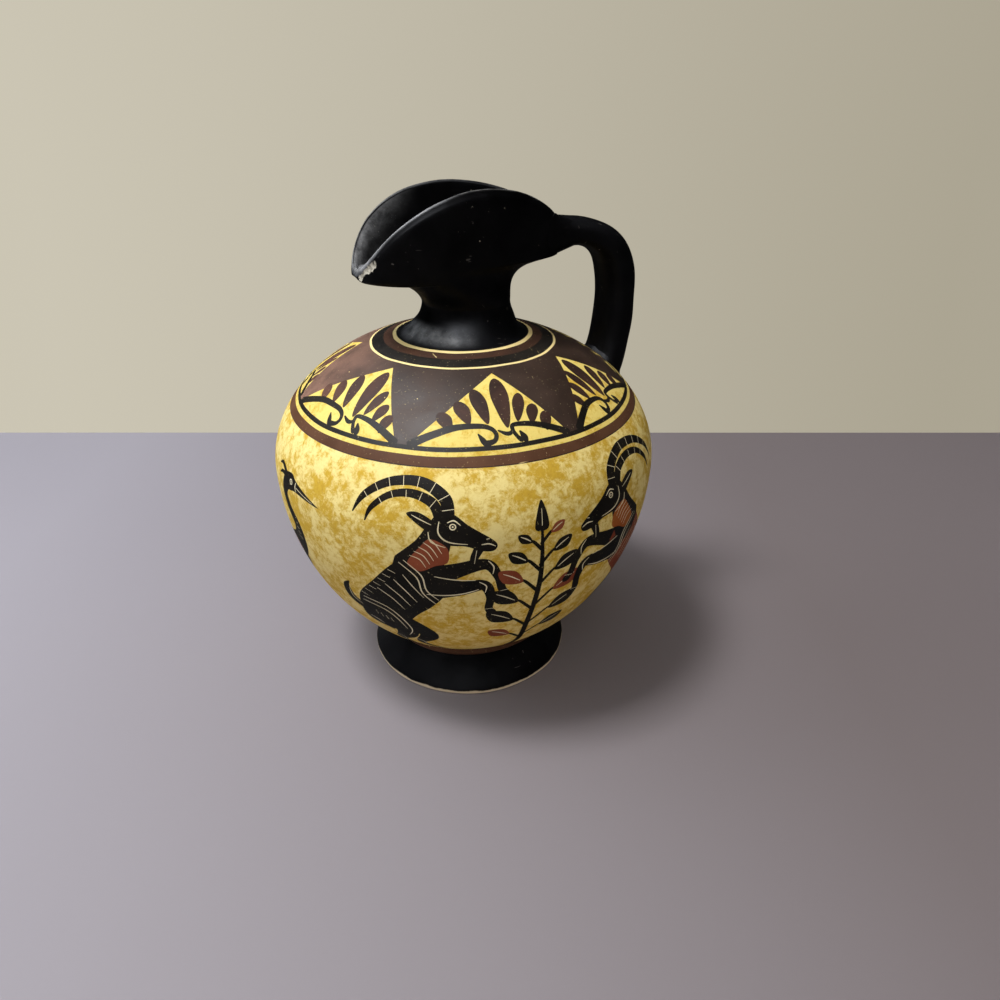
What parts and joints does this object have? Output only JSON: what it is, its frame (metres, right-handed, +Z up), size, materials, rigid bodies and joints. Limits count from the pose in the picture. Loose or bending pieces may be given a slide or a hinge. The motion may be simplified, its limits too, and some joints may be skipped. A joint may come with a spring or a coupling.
{
  "type": "beaked wine jug",
  "caption": "Round-bellied ceramic wine jug on a flared ring foot, with a narrow neck, a broad cut-away beaked mouth and one strap handle, painted with ornament bands and a frieze.",
  "frame": {"origin": "on the axis of the round body, in the plane the foot stands on", "axes": "+Z up along the body's axis, +X towards the handle, -X towards the tip of the beak, +Y to the left of someone who looks along +X"},
  "size_m": [0.15, 0.15, 0.1947],
  "materials": {
    "black_slip": "satin black slip with fine scratches and small nicks",
    "brown_slip": "satin brown slip",
    "painted_belly": "satin, sponge-mottled pale yellow and ochre ground with a black frieze cut with pale lines",
    "painted_shoulder": "satin, dark purple-brown ground with yellow palmette triangles between cream rings"
  },
  "bodies": {
    "root": {"foot": "black_slip", "foot_luting_coil": "brown_slip", "belly": "painted_belly", "shoulder": "painted_shoulder", "neck": "black_slip", "beaked_mouth": "black_slip", "handle": "black_slip", "handle_root_coil": "black_slip", "handle_base_coil": "black_slip"}
  },
  "joints": []
}
